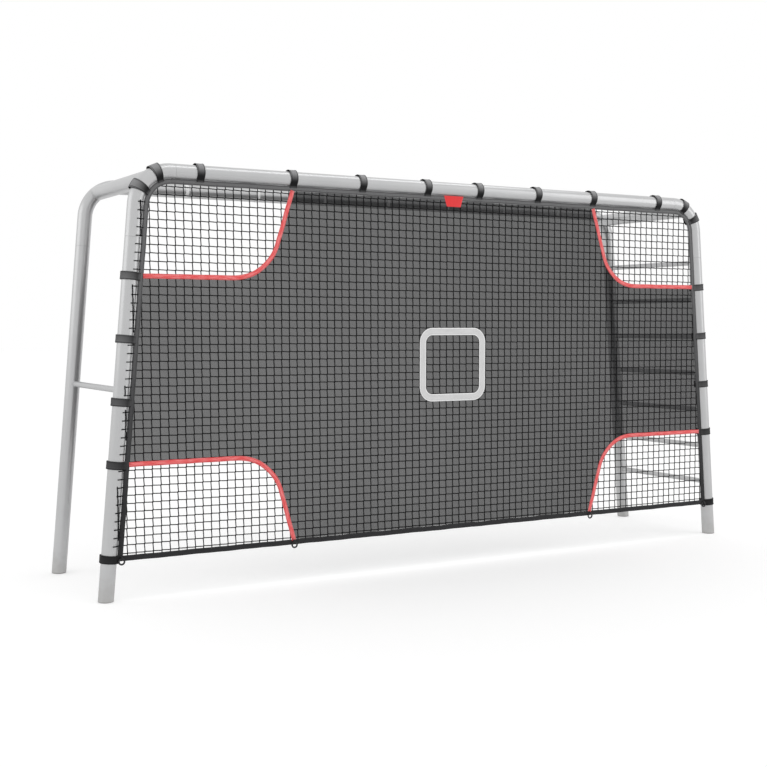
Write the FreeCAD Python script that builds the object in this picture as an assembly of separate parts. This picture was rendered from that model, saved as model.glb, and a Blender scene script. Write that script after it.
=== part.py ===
import FreeCAD, Part
import math
import os

# Pitch back rebounder: a free-standing tube frame, open at the back, with a stretched
# ball net across its front. All sizes are in millimetres.
# +X runs along the net to the right as seen from the front, +Y runs from the net to
# the back, +Z is up. The origin is on the ground, under the middle of the frame.

# ---- Tube frame
beam_height = 2166.0      # ground to the axis of the top beams
corner_span = 3761.0      # between the leg axes where they meet beam height
leg_splay = 0.0903        # how far a leg runs outwards for each mm that it drops
frame_depth = 842.0       # front tubes to back tubes, axis to axis
tube_od = 80.0
tube_wall = 2.0
rim_chamfer = 0.8         # broken outer edge at the ends of tubes and corner pieces

# ---- Corner pieces
bend_radius = 187.0       # centre line of the bend between beam and leg
beam_arm = 20.0           # straight end of a corner piece towards the beam
leg_arm = 167.0           # straight end of a corner piece towards the leg
side_arm = 100.0          # branch towards the side beam, from the bend's centre line
side_branch_angle = 38.0  # where the branch leaves the bend, from the beam end
spigot_length = 90.0      # reduced end that slides into the next tube
spigot_wall = 3.0
spigot_gap = 0.2          # spigot to tube bore, on the radius

# ---- Foot caps
foot_height = 6.0         # what shows below the end of a leg
foot_plug_depth = 40.0    # how far the plug reaches up inside the leg
foot_plug_wall = 3.0
foot_edge = 4.0           # rounding of the lower rim

# ---- Ladder on the right side, single bar on the left side
rung_od = 32.0
rung_wall = 2.0
rung_count = 7
lowest_rung = 350.0
top_rung_drop = 33.5      # below the seam between leg and corner piece
left_bar_height = 1063.0
weld_gap = 0.2            # coped end of a rung to the leg it is welded to

# ---- Net: the strings, and the webbing that binds their edge
net_setback = 18.5        # net's middle plane, in front of the front tubes' axes
string_thickness = 4.0
edge_clearance = 0.58     # webbing's outer edge to the skin of the tube beside it
webbing_width = 28.0
webbing_thickness = 6.0   # folded over the edge of the net, both sides together
webbing_cover = 3.0       # how much of the webbing lies outside the net's own edge
net_bottom = 202.0        # lower edge of the bottom webbing

# ---- Close-woven panel and the four open corner windows
panel_thickness = 1.0
top_window_drop = 530.0   # beam axis down to the sill, where the top leg strap is too
top_window_corner = 1178.0
bottom_window_head = 690.0
bottom_window_corner = 1159.0
window_end = 1030.0       # where each window's slanting side meets the webbing
window_radius = 265.0
tape_width = 25.0
tape_thickness = 0.8
trim_gap = 0.2            # trim to the net that it is sewn on

# ---- Target and tag
target_width = 453.0
target_height = 422.0
target_drop = 1003.0      # beam axis down to the target's centre
target_band = 42.0
target_radius = 84.0
target_thickness = 1.5
tag_top = 133.0
tag_bottom = 94.0
tag_height = 62.0
tag_thickness = 1.2

# ---- Hook-and-loop straps
strap_width = 42.0
strap_thickness = 2.5
strap_gap = 0.3           # strap to tube
strap_overlap = 11.0      # how far a strap's two ends lie on the webbing
inner_strap = 178.0       # beam straps, out from the middle
strap_step = 424.0        # from one beam strap to the next
end_strap_inset = 134.6   # from the end of the beam tube
leg_strap_step = 316.0
leg_straps = 4
beam_side_strap_angle = 23.5
leg_side_strap_angle = 59.0

# ---- Tie-down rings and the webbing keepers that they swing in
ring_radius = 14.5        # to the middle of the ring's section
ring_section = 4.5
keeper_width = 10.0
keeper_wall = 1.5
keeper_bore = 6.5
keeper_leaf = 13.0        # flat part on the webbing, above the ring
keeper_clearance = 1.0    # outer keepers to the tips of the lowest leg straps

# ---- Pale retaining bands on the back beam
band_count = 7
band_left_inset = 392.0   # from the left end of the beam tube
band_right_inset = 276.0
band_width = 20.0
band_thickness = 1.2

# ---- Worked out from the sizes above
V = FreeCAD.Vector
tube_r = tube_od / 2
bore_r = tube_r - tube_wall
spigot_r = bore_r - spigot_gap
spigot_bore_r = spigot_r - spigot_wall
half_depth = frame_depth / 2
net_y = -half_depth - net_setback
net_front = net_y - string_thickness / 2
net_back = net_y + string_thickness / 2
webbing_front = net_y - webbing_thickness / 2
webbing_back = net_y + webbing_thickness / 2
edge_depth = net_setback - webbing_thickness / 2
edge_gap = math.sqrt((tube_r + edge_clearance) ** 2 - edge_depth ** 2)
inner_edge = edge_gap + webbing_width
top_window_sill = beam_height - top_window_drop
splay_angle = math.atan(leg_splay)
bend_angle = math.pi / 2 - splay_angle
bend_reach = bend_radius * math.tan(bend_angle / 2)
straight_half = corner_span / 2 - bend_reach
beam_half = straight_half - beam_arm
side_beam_half = half_depth - side_arm
sides = {"left": -1, "right": 1}
faces = {"front": -1, "back": 1}
margin = 50.0             # how far cutting tools run past what they cut


def leg_x(z):
    """Distance of a leg's axis from the middle, at a height."""
    return corner_span / 2 + (beam_height - z) * leg_splay


def leg_down(side):
    """Direction down a leg."""
    return V(side * math.sin(splay_angle), 0, -math.cos(splay_angle))


def rod(start, direction, length, radius):
    return Part.makeCylinder(radius, length, start, direction)


def pipe(start, direction, length, radius, bore):
    return rod(start, direction, length, radius).cut(rod(start, direction, length, bore))


def break_rims(shape):
    """Chamfer the outer rims where a frame tube or a corner piece ends square."""
    rims = []
    for edge in shape.Edges:
        if edge.Curve.TypeId != "Part::GeomCircle" or abs(edge.Curve.Radius - tube_r) > weld_gap:
            continue
        neighbours = shape.ancestorsOfType(edge, Part.Face)
        if any(face.Surface.TypeId == "Part::GeomPlane" for face in neighbours):
            rims.append(edge)
    return shape.makeChamfer(rim_chamfer, rims)


def block(x0, x1, y0, y1, z0, z1):
    return Part.makeBox(x1 - x0, y1 - y0, z1 - z0, V(x0, y0, z0))


def bend_point(side, y, angle):
    """Point on a bend's centre line, at an angle in degrees from its beam end."""
    turn = math.radians(angle)
    x = straight_half + bend_radius * math.sin(turn)
    z = beam_height - bend_radius + bend_radius * math.cos(turn)
    return V(side * x, y, z)


def bend_direction(side, angle):
    """Direction along a bend's centre line, from the beam towards the leg."""
    turn = math.radians(angle)
    return V(side * math.cos(turn), 0, -math.sin(turn))


# ---- Tube frame pieces

def corner_core(side, y, radius, extra):
    """Bend, two arms and the side branch as one solid bar, arms longer by extra."""
    beam_end = bend_point(side, y, 0)
    leg_end = bend_point(side, y, math.degrees(bend_angle))
    disc = Part.Face(Part.Wire(Part.makeCircle(radius, beam_end, V(1, 0, 0))))
    hub = V(beam_end.x, y, beam_height - bend_radius)
    core = disc.revolve(hub, V(0, side, 0), math.degrees(bend_angle))
    towards_other_frame = V(0, -1 if y > 0 else 1, 0)
    branch = bend_point(side, y, side_branch_angle)
    arms = [
        rod(beam_end, V(-side, 0, 0), beam_arm + extra, radius),
        rod(leg_end, leg_down(side), leg_arm + extra, radius),
        rod(branch, towards_other_frame, side_arm + extra, radius),
    ]
    return core.multiFuse(arms)


def corner(side, face):
    y = face * half_depth
    outside = corner_core(side, y, tube_r, 0)
    spigots = corner_core(side, y, spigot_r, spigot_length)
    hollow = corner_core(side, y, spigot_bore_r, spigot_length + margin)
    return break_rims(outside.fuse(spigots).cut(hollow))


def beam(face):
    start = V(-beam_half, face * half_depth, beam_height)
    return break_rims(pipe(start, V(1, 0, 0), 2 * beam_half, tube_r, bore_r))


def side_beam(side):
    seat = bend_point(side, -side_beam_half, side_branch_angle)
    return break_rims(pipe(seat, V(0, 1, 0), 2 * side_beam_half, tube_r, bore_r))


def leg_top(side, y):
    """Seam between a leg and its corner piece."""
    return bend_point(side, y, math.degrees(bend_angle)) + leg_down(side) * leg_arm


def leg(side, face):
    top = leg_top(side, face * half_depth)
    length = top.z / math.cos(splay_angle) + margin
    tube = pipe(top, leg_down(side), length, tube_r, bore_r)
    ground = block(-corner_span, corner_span, -frame_depth, frame_depth, -2 * margin, foot_height)
    return break_rims(tube.cut(ground))


def foot_cap(side, face):
    """Flat-bottomed cap under a leg, with a hollow plug inside the leg."""
    y = face * half_depth
    foot = V(side * leg_x(0), y, 0)
    low = foot + leg_down(side) * margin
    cap = rod(low, leg_down(side) * -1, 2 * margin, tube_r)
    cap = cap.common(block(-corner_span, corner_span, -frame_depth, frame_depth, 0, foot_height))
    rim = [edge for edge in cap.Edges if edge.BoundBox.ZMax < foot_height / 2]
    cap = cap.makeFillet(foot_edge, rim)
    plug = pipe(low, leg_down(side) * -1, 3 * margin, spigot_r, spigot_r - foot_plug_wall)
    plug_top = foot_height + foot_plug_depth
    plug = plug.common(
        block(-corner_span, corner_span, -frame_depth, frame_depth, foot_height, plug_top))
    return cap.fuse(plug)


def rung(side, z):
    """Cross bar between the front and back legs of one side, with coped ends."""
    start = V(side * leg_x(z), -half_depth, z)
    bar = pipe(start, V(0, 1, 0), frame_depth, rung_od / 2, rung_od / 2 - rung_wall)
    for face in faces.values():
        foot = V(side * leg_x(0), face * half_depth, 0)
        bar = bar.cut(rod(foot, leg_down(side) * -1, beam_height, tube_r + weld_gap))
    return bar


def rung_heights():
    highest = leg_top(1, 0).z - top_rung_drop
    pitch = (highest - lowest_rung) / (rung_count - 1)
    return [lowest_rung + pitch * i for i in range(rung_count)]


# ---- Net pieces

def net_outline(gap, bottom):
    """Net face at a gap inside the tube axes, square at the bottom and round at the top."""
    top = beam_height - gap
    slope_gap = gap / math.cos(splay_angle)
    radius = bend_radius - gap
    low = V(leg_x(bottom) - slope_gap, 0, bottom)
    centre_z = beam_height - bend_radius
    points = []
    for turn in (bend_angle, bend_angle / 2, 0):
        x = straight_half + radius * math.sin(turn)
        points.append(V(x, 0, centre_z + radius * math.cos(turn)))
    left = [V(-point.x, 0, point.z) for point in points]
    low_left = V(-low.x, 0, bottom)
    edges = [
        Part.makeLine(low, points[0]),
        Part.Arc(*points).toShape(),
        Part.makeLine(points[2], left[2]),
        Part.Arc(left[2], left[1], left[0]).toShape(),
        Part.makeLine(left[0], low_left),
        Part.makeLine(low_left, low),
    ]
    return Part.Face(Part.Wire(edges))


def slab(face, y0, y1):
    """Solid from a face in the y = 0 plane, from depth y0 to depth y1."""
    moved = face.copy()
    moved.translate(V(0, y0, 0))
    return moved.extrude(V(0, y1 - y0, 0))


def net_inner_slab(y0, y1):
    return slab(net_outline(inner_edge, net_bottom + webbing_width), y0, y1)


def string_net():
    return slab(net_outline(edge_gap + webbing_cover, net_bottom + webbing_cover), net_front, net_back)


def webbing_ring():
    whole = slab(net_outline(edge_gap, net_bottom), webbing_front, webbing_back)
    whole = whole.cut(net_inner_slab(webbing_front - 1, webbing_back + 1))
    return whole.cut(string_net())


def webbing(zone):
    """One length of the edge webbing: bottom, top, a side or a round corner."""
    y0 = webbing_front - 1
    y1 = webbing_back + 1
    reach = leg_x(0)
    straight_z = beam_height - bend_radius
    side_foot = net_bottom + webbing_width
    boxes = {
        "bottom": (-reach, reach, y0, y1, 0, side_foot),
        "top": (-straight_half, straight_half, y0, y1, straight_z, beam_height),
        "left": (-reach, 0, y0, y1, side_foot, straight_z),
        "right": (0, reach, y0, y1, side_foot, straight_z),
        "corner_left": (-reach, -straight_half, y0, y1, straight_z, beam_height),
        "corner_right": (straight_half, reach, y0, y1, straight_z, beam_height),
    }
    return webbing_ring().common(block(*boxes[zone]))


def window_face(side, upper, grow):
    """Area of one corner window, grown or shrunk by an offset."""
    edge_z = top_window_sill if upper else bottom_window_head
    corner_x = top_window_corner if upper else bottom_window_corner
    end_z = beam_height - inner_edge if upper else net_bottom + webbing_width
    up = 1 if upper else -1
    corner_point = V(corner_x, 0, edge_z)
    out = V(1, 0, 0)
    along = V(window_end - corner_x, 0, end_z - edge_z)
    along.normalize()
    half_angle = math.acos(out.dot(along)) / 2
    bisector = out + along
    bisector.normalize()
    hub = corner_point + bisector * (window_radius / math.sin(half_angle))
    radius = window_radius + grow
    flat = V(hub.x, 0, hub.z - up * radius)
    inward = V(-up * along.z, 0, up * along.x)
    slant = hub + inward * radius
    middle = hub - bisector * radius
    far = 3 * margin + abs(end_z - edge_z)
    high = slant + along * far
    outer = V(leg_x(0) + margin, 0, flat.z)
    top_outer = V(outer.x, 0, high.z)
    edges = [
        Part.makeLine(outer, flat),
        Part.Arc(flat, middle, slant).toShape(),
        Part.makeLine(slant, high),
        Part.makeLine(high, top_outer),
        Part.makeLine(top_outer, outer),
    ]
    face = Part.Face(Part.Wire(edges))
    if side < 0:
        face = face.mirror(V(0, 0, 0), V(1, 0, 0))
    return face


def window_slab(side, upper, grow, y0, y1):
    return slab(window_face(side, upper, grow), y0, y1)


def mesh_panel():
    back = net_back + panel_thickness
    panel = net_inner_slab(net_back, back)
    for side in sides.values():
        for upper in (True, False):
            panel = panel.cut(window_slab(side, upper, 0, net_back - 1, back + 1))
    return panel


def tape(side, upper):
    y1 = net_front - trim_gap
    y0 = y1 - tape_thickness
    band = window_slab(side, upper, tape_width / 2, y0, y1)
    band = band.cut(window_slab(side, upper, -tape_width / 2, y0 - 1, y1 + 1))
    return band.common(net_inner_slab(y0, y1))


def rounded_rectangle(width, height, radius, centre_z):
    """Face in the y = 0 plane."""
    box = block(-width / 2, width / 2, 0, 1, centre_z - height / 2, centre_z + height / 2)
    uprights = [edge for edge in box.Edges if abs(edge.BoundBox.YLength - 1) < 0.01]
    solid = box.makeFillet(radius, uprights)
    front = [face for face in solid.Faces if face.BoundBox.YMax < 0.01]
    return front[0]


def target():
    y1 = net_front - trim_gap
    y0 = y1 - target_thickness
    centre_z = beam_height - target_drop
    outer = rounded_rectangle(target_width, target_height, target_radius, centre_z)
    inner = rounded_rectangle(
        target_width - 2 * target_band,
        target_height - 2 * target_band,
        target_radius - target_band,
        centre_z)
    return slab(outer, y0, y1).cut(slab(inner, y0 - 1, y1 + 1))


def tag():
    top = beam_height - edge_gap
    bottom = top - tag_height
    corners = [
        V(-tag_top / 2, 0, top),
        V(tag_top / 2, 0, top),
        V(tag_bottom / 2, 0, bottom),
        V(-tag_bottom / 2, 0, bottom),
    ]
    face = Part.Face(Part.makePolygon(corners + corners[:1]))
    y1 = webbing_front - trim_gap
    return slab(face, y1 - tag_thickness, y1)


# ---- Straps, rings and bands

def strap(centre, along, inward):
    """Strap round a tube, with its two ends on either side of the edge webbing."""
    inner_r = tube_r + strap_gap
    outer_r = inner_r + strap_thickness
    start = centre - along * (strap_width / 2)
    loop = pipe(start, along, strap_width, outer_r, inner_r)
    slot_front = net_setback + webbing_thickness / 2 + trim_gap
    slot_back = net_setback - webbing_thickness / 2 - trim_gap
    forward = V(0, -1, 0)

    def plate(n0, n1, f0, f1):
        corners = []
        for n, f in ((n0, f0), (n1, f0), (n1, f1), (n0, f1)):
            corners.append(start + inward * n + forward * f)
        return Part.Face(Part.makePolygon(corners + corners[:1])).extrude(along * strap_width)

    tip = edge_gap + strap_overlap
    ends = [
        plate(tube_r / 2, tip, slot_front, slot_front + strap_thickness),
        plate(tube_r / 2, tip, slot_back - strap_thickness, slot_back),
    ]
    loop = loop.multiFuse(ends)
    loop = loop.cut(rod(start - along, along, strap_width + 2, inner_r))
    slot = plate(tube_r / 2, tip + 1, slot_back, slot_front)
    return loop.cut(slot)


def beam_straps():
    places = [inner_strap, inner_strap + strap_step, inner_strap + 2 * strap_step]
    places.append(beam_half - end_strap_inset)
    straps = []
    for side in sides.values():
        for x in places:
            centre = V(side * x, -half_depth, beam_height)
            straps.append(strap(centre, V(1, 0, 0), V(0, 0, -1)))
    return Part.makeCompound(straps)


def leg_strap_heights():
    heights = [top_window_sill - leg_strap_step * i for i in range(leg_straps)]
    return heights + [net_bottom + webbing_width / 2]


def bar_heights(side):
    """Bars welded between the legs of one side."""
    return rung_heights() if side > 0 else [left_bar_height]


def side_straps(side):
    """Leg straps, each slotted round a bar that meets the leg behind it."""
    inward = V(-side * math.cos(splay_angle), 0, -math.sin(splay_angle))
    straps = []
    for z in leg_strap_heights():
        centre = V(side * leg_x(z), -half_depth, z)
        piece = strap(centre, leg_down(side), inward)
        for bar_z in bar_heights(side):
            if abs(bar_z - z) < strap_width / 2 + rung_od:
                start = V(side * leg_x(bar_z), -half_depth, bar_z)
                piece = piece.cut(rod(start, V(0, 1, 0), half_depth, rung_od / 2 + strap_gap))
        straps.append(piece)
    return Part.makeCompound(straps)


def corner_straps():
    straps = []
    for side in sides.values():
        branch = bend_point(side, -half_depth, side_branch_angle)
        branch_room = rod(branch, V(0, 1, 0), side_arm, tube_r + strap_gap)
        bend_room = corner_core(side, -half_depth, tube_r + strap_gap, 0)
        for angle in (beam_side_strap_angle, leg_side_strap_angle):
            centre = bend_point(side, -half_depth, angle)
            along = bend_direction(side, angle)
            inward = V(-side * math.sin(math.radians(angle)), 0, -math.cos(math.radians(angle)))
            piece = strap(centre, along, inward)
            piece = piece.cut(branch_room).cut(bend_room)
            straps.append(piece.cut(slab_room()))
    return Part.makeCompound([max(piece.Solids, key=lambda s: s.Volume) for piece in straps])


def slab_room():
    """Space that the net's edge takes up, with a little room round it."""
    face = net_outline(edge_gap - trim_gap, net_bottom)
    return slab(face, webbing_front - trim_gap, webbing_back + trim_gap)


def ring_places():
    z = net_bottom + webbing_width / 2
    y = webbing_front - keeper_wall - keeper_bore
    strap_tip = (edge_gap + strap_overlap) / math.cos(splay_angle)
    corner_x = leg_x(z + strap_width / 2) - strap_tip - keeper_clearance - keeper_width / 2
    return {
        "outer_left": V(-corner_x, y, z),
        "inner_left": V(-window_end, y, z),
        "inner_right": V(window_end, y, z),
        "outer_right": V(corner_x, y, z),
    }


def tie_ring(place):
    centre = place - V(0, 0, ring_radius)
    return Part.makeTorus(ring_radius, ring_section, centre, V(0, 1, 0))


def keeper(place):
    """Short webbing loop that holds a ring, with a leaf sewn to the bottom webbing."""
    start = place - V(keeper_width / 2, 0, 0)
    loop = rod(start, V(1, 0, 0), keeper_width, keeper_bore + keeper_wall)
    leaf = block(
        start.x, start.x + keeper_width,
        webbing_front - keeper_wall, webbing_front,
        place.z - keeper_bore, place.z + keeper_leaf)
    solid = loop.fuse(leaf)
    solid = solid.cut(rod(start - V(1, 0, 0), V(1, 0, 0), keeper_width + 2, keeper_bore))
    return solid


def keepers():
    return Part.makeCompound([keeper(place) for place in ring_places().values()])


def beam_bands():
    bands = []
    first = -beam_half + band_left_inset
    pitch = (beam_half - band_right_inset - first) / (band_count - 1)
    for i in range(band_count):
        start = V(first + pitch * i - band_width / 2, half_depth, beam_height)
        inner = tube_r + trim_gap
        bands.append(pipe(start, V(1, 0, 0), band_width, inner + band_thickness, inner))
    return Part.makeCompound(bands)


# ---- All nodes

def nodes():
    made = {}
    for face_name, face in faces.items():
        made[face_name + "_beam"] = beam(face)
        for side_name, side in sides.items():
            made["corner_" + face_name + "_" + side_name] = corner(side, face)
            made["leg_" + face_name + "_" + side_name] = leg(side, face)
            made["foot_cap_" + face_name + "_" + side_name] = foot_cap(side, face)
    for side_name, side in sides.items():
        made["side_beam_" + side_name] = side_beam(side)
        made["side_straps_" + side_name] = side_straps(side)
        made["tape_top_" + side_name] = tape(side, True)
        made["tape_bottom_" + side_name] = tape(side, False)
    for i, z in enumerate(rung_heights()):
        made["ladder_rung_" + str(i + 1)] = rung(1, z)
    made["left_bar"] = rung(-1, left_bar_height)
    for zone in ("bottom", "top", "left", "right", "corner_left", "corner_right"):
        made["webbing_" + zone] = webbing(zone)
    made["string_net"] = string_net()
    made["mesh_panel"] = mesh_panel()
    made["target"] = target()
    made["tag"] = tag()
    made["beam_straps"] = beam_straps()
    made["corner_straps"] = corner_straps()
    made["ring_keepers"] = keepers()
    for name, place in ring_places().items():
        made["tie_ring_" + name] = tie_ring(place)
    made["back_beam_bands"] = beam_bands()
    return made


os.makedirs("parts", exist_ok=True)
for name, shape in nodes().items():
    shape.exportStep("parts/" + name + ".step")
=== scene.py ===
# %% [markdown]
# A ball rebounder for the garden: a frame of light grey tube, a stretched string net with a
# see-through panel behind it, red-edged windows, a white target square and dark straps.
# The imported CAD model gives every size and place. This lesson gives the pieces their looks.

import math
import random

import bmesh
import bpy
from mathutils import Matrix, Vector


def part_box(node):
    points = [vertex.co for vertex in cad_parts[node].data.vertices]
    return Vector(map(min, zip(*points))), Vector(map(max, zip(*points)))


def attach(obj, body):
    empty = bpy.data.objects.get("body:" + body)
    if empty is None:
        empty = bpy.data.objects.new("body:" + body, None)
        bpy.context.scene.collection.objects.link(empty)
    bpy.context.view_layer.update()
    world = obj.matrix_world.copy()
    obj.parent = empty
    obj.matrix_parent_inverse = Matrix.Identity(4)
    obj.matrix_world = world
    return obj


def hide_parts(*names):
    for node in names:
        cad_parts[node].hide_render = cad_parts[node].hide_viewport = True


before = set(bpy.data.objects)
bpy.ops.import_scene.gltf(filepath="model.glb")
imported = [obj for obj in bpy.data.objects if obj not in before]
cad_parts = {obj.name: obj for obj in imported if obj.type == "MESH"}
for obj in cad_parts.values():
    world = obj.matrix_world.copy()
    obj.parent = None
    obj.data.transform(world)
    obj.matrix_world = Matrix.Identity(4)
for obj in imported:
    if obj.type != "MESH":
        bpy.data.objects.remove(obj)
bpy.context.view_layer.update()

# %% [markdown]
# The tubes stay as the CAD made them, so only a few of their sizes are needed here. They are
# read from the boxes of the CAD nodes: the beam gives its height and radius, a leg gives the
# line that the net's sloping side follows.

# %% Read the frame's own sizes
beam_low, beam_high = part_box("front_beam")
tube_r = (beam_high.z - beam_low.z) / 2
beam_z = (beam_high.z + beam_low.z) / 2
front_y = (beam_high.y + beam_low.y) / 2
leg_slope = 0.0903        # how far a leg runs outwards for each metre that it drops
slope_angle = math.atan(leg_slope)
bend_radius = 0.187       # centre line of the corner bends
beam_arm = 0.020          # straight end of a corner piece, next to the beam
hub_x = beam_high.x + beam_arm
hub_z = beam_z - bend_radius
bend_angle = math.pi / 2 - slope_angle
leg_low, leg_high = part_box("leg_front_right")
foot_x = leg_high.x - tube_r / math.cos(slope_angle)
net_low, net_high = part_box("string_net")
webbing_low, webbing_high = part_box("webbing_bottom")
webbing_width = webbing_high.z - webbing_low.z
edge_gap = beam_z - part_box("webbing_top")[1].z


def leg_x(z):
    """Distance of a front leg's axis from the middle, at a height."""
    return foot_x - (z - leg_low.z) * leg_slope


print("tube radius", round(tube_r, 4), "beam height", round(beam_z, 4), "edge gap", round(edge_gap, 4))

# %% [markdown]
# Shader nodes are easier to read when each is made by one short call. This helper makes a node,
# sets its options, and gives each socket either a number or a link.

# %% Helpers for shader nodes
def node(tree, kind, sockets=None, **options):
    made = tree.nodes.new(kind)
    for key, value in options.items():
        setattr(made, key, value)
    for key, value in (sockets or {}).items():
        if isinstance(value, bpy.types.NodeSocket):
            tree.links.new(value, made.inputs[key])
        else:
            made.inputs[key].default_value = value
    return made


def sums(tree, operation, first, second=0.0, third=0.0):
    """One Math node, as its output socket."""
    made = node(tree, "ShaderNodeMath", {0: first, 1: second, 2: third}, operation=operation)
    return made.outputs[0]


def times(tree, first, second):
    return sums(tree, "MULTIPLY", first, second)


def axes(tree, vector):
    """The X, Y and Z of a vector, as sockets."""
    return node(tree, "ShaderNodeSeparateXYZ", {0: vector}).outputs


def ramp(tree, value, low, high, low_out=0.0, high_out=1.0):
    """A smooth step of value, from low_out at low to high_out at high."""
    sockets = {"Value": value, "From Min": low, "From Max": high, "To Min": low_out, "To Max": high_out}
    return node(tree, "ShaderNodeMapRange", sockets, interpolation_type="SMOOTHSTEP").outputs[0]


def shade(tree, amount, dark, light):
    """A colour between two, by an amount."""
    made = node(tree, "ShaderNodeMix", {0: amount, 6: (*dark, 1), 7: (*light, 1)}, data_type="RGBA")
    return made.outputs[2]


def blend(tree, amount, colour, other):
    """A linked colour blended towards a plain one, by an amount."""
    made = node(tree, "ShaderNodeMix", {0: amount, 6: colour, 7: (*other, 1)}, data_type="RGBA")
    return made.outputs[2]


def effect(name, inputs, outputs):
    """An empty node group with named inputs (with their defaults) and outputs."""
    tree = bpy.data.node_groups.new(name, "ShaderNodeTree")
    for key, value in inputs.items():
        kind = "NodeSocketVector" if value is None else "NodeSocketFloat"
        made = tree.interface.new_socket(key, in_out="INPUT", socket_type=kind)
        if value is not None:
            made.default_value = value
    for key in outputs:
        tree.interface.new_socket(key, in_out="OUTPUT", socket_type="NodeSocketFloat")
    return tree, tree.nodes.new("NodeGroupInput").outputs, tree.nodes.new("NodeGroupOutput").inputs


def place_effect(tree, group, sockets):
    """The outputs of a node group that has been put into a material."""
    return node(tree, "ShaderNodeGroup", sockets, node_tree=group).outputs


# %% [markdown]
# Four effects come back in many materials, so each is a node group. The first is the weave of
# a cloth: two sets of threads that pass over and under each other, on a map that is measured
# in metres, so that the same thread count gives the same cloth on every piece.

# %% Effect: woven threads
tree, given, result = effect("woven_threads", {"Vector": None, "Threads": 900.0}, ["Height"])
split = axes(tree, given["Vector"])
turns = times(tree, given["Threads"], math.pi)
warp = sums(tree, "SINE", times(tree, split["X"], turns))
weft = sums(tree, "SINE", times(tree, split["Y"], turns))
over = sums(tree, "GREATER_THAN", times(tree, warp, weft), 0.0)
under = sums(tree, "SUBTRACT", 1.0, over)
warp_top = times(tree, sums(tree, "ABSOLUTE", warp), over)
weft_top = times(tree, sums(tree, "ABSOLUTE", weft), under)
tree.links.new(sums(tree, "ADD", warp_top, weft_top), result["Height"])
weave_group = tree
print("made", tree.name)

# %% [markdown]
# The second effect is a seam: two rows of stitches, one along each edge of a band. The map
# runs along the band in X and across it in Y, so a row is a fixed distance from an edge, and
# its stitches are dashes along X with a small dent round them.

# %% Effect: stitch rows
tree, given, result = effect(
    "stitch_rows", {"Vector": None, "Width": 0.03, "Inset": 0.004, "Pitch": 0.006}, ["Thread", "Dent"])
split = axes(tree, given["Vector"])
from_first = sums(tree, "ABSOLUTE", sums(tree, "SUBTRACT", split["Y"], given["Inset"]))
far_row = sums(tree, "SUBTRACT", given["Width"], given["Inset"])
from_second = sums(tree, "ABSOLUTE", sums(tree, "SUBTRACT", split["Y"], far_row))
from_row = sums(tree, "MINIMUM", from_first, from_second)
line = ramp(tree, from_row, 0.0004, 0.0010, 1.0, 0.0)
dash = sums(tree, "FRACT", sums(tree, "DIVIDE", split["X"], given["Pitch"]))
gap = sums(tree, "LESS_THAN", dash, 0.72)
tree.links.new(times(tree, line, gap), result["Thread"])
tree.links.new(ramp(tree, from_row, 0.0008, 0.0030, 1.0, 0.0), result["Dent"])
stitch_group = tree
print("made", tree.name)

# %% [markdown]
# The third is mottling: no dye, paint or plastic is quite even. Two sizes of noise together
# look more natural than one. The fourth is the dust and splashed soil of a garden, which is
# thickest near the ground and fades upwards in an uneven line.

# %% Effects: mottling and garden dust
tree, given, result = effect("mottling", {"Vector": None, "Scale": 8.0}, ["Broad", "Fine"])
broad_sockets = {"Vector": given["Vector"], "Scale": given["Scale"], "Detail": 3.0}
broad = node(tree, "ShaderNodeTexNoise", broad_sockets)
fine_scale = times(tree, given["Scale"], 14.0)
fine_sockets = {"Vector": given["Vector"], "Scale": fine_scale, "Detail": 2.0}
fine = node(tree, "ShaderNodeTexNoise", fine_sockets)
tree.links.new(broad.outputs["Fac"], result["Broad"])
tree.links.new(fine.outputs["Fac"], result["Fine"])
mottle_group = tree

tree, given, result = effect("garden_dust", {"Vector": None, "Reach": 0.25}, ["Dust"])
split = axes(tree, given["Vector"])
patches = node(tree, "ShaderNodeTexNoise", {"Vector": given["Vector"], "Scale": 22.0, "Detail": 6.0})
ragged = sums(tree, "MULTIPLY_ADD", patches.outputs["Fac"], given["Reach"], split["Z"])
painted_light_mask = ramp(tree, ragged, times(tree, given["Reach"], 0.45),
              times(tree, given["Reach"], 1.25), 1.0, 0.0)
tree.links.new(painted_light_mask, result["Dust"])
dust_group = tree
print("made", mottle_group.name, "and", dust_group.name)

# %% [markdown]
# The tubes are steel with a satin light grey powder coat. Powder coat has a fine orange-peel
# skin that breaks up its highlights, and is a little rougher in some patches than in others.
# It is paint and not bare metal, but a large metallic share gives it the long soft reflections
# of a smooth tube in a bright room, which a plain painted surface here lacked.
# A thin dark line marks each seam where one tube slides into the next: the seams lie at the
# ends of the beams and at the tops of the legs, at places read from the CAD boxes.

# %% Finish: powder-coated tube
def surface(name, **constants):
    """A new material, its node tree and its Principled shader with plain numbers set on it."""
    material = bpy.data.materials.new(name)
    material.use_nodes = True
    tree = material.node_tree
    shader = tree.nodes["Principled BSDF"]
    for key, value in constants.items():
        shader.inputs[key.replace("_", " ")].default_value = value
    return material, tree, shader


def object_map(tree):
    return node(tree, "ShaderNodeTexCoord").outputs["Object"]


def cloth_map(tree):
    return node(tree, "ShaderNodeUVMap", uv_map="cloth").outputs["UV"]


def bump(tree, shader, height, strength, distance):
    sockets = {"Height": height, "Strength": strength, "Distance": distance}
    tree.links.new(node(tree, "ShaderNodeBump", sockets).outputs[0], shader.inputs["Normal"])


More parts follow.
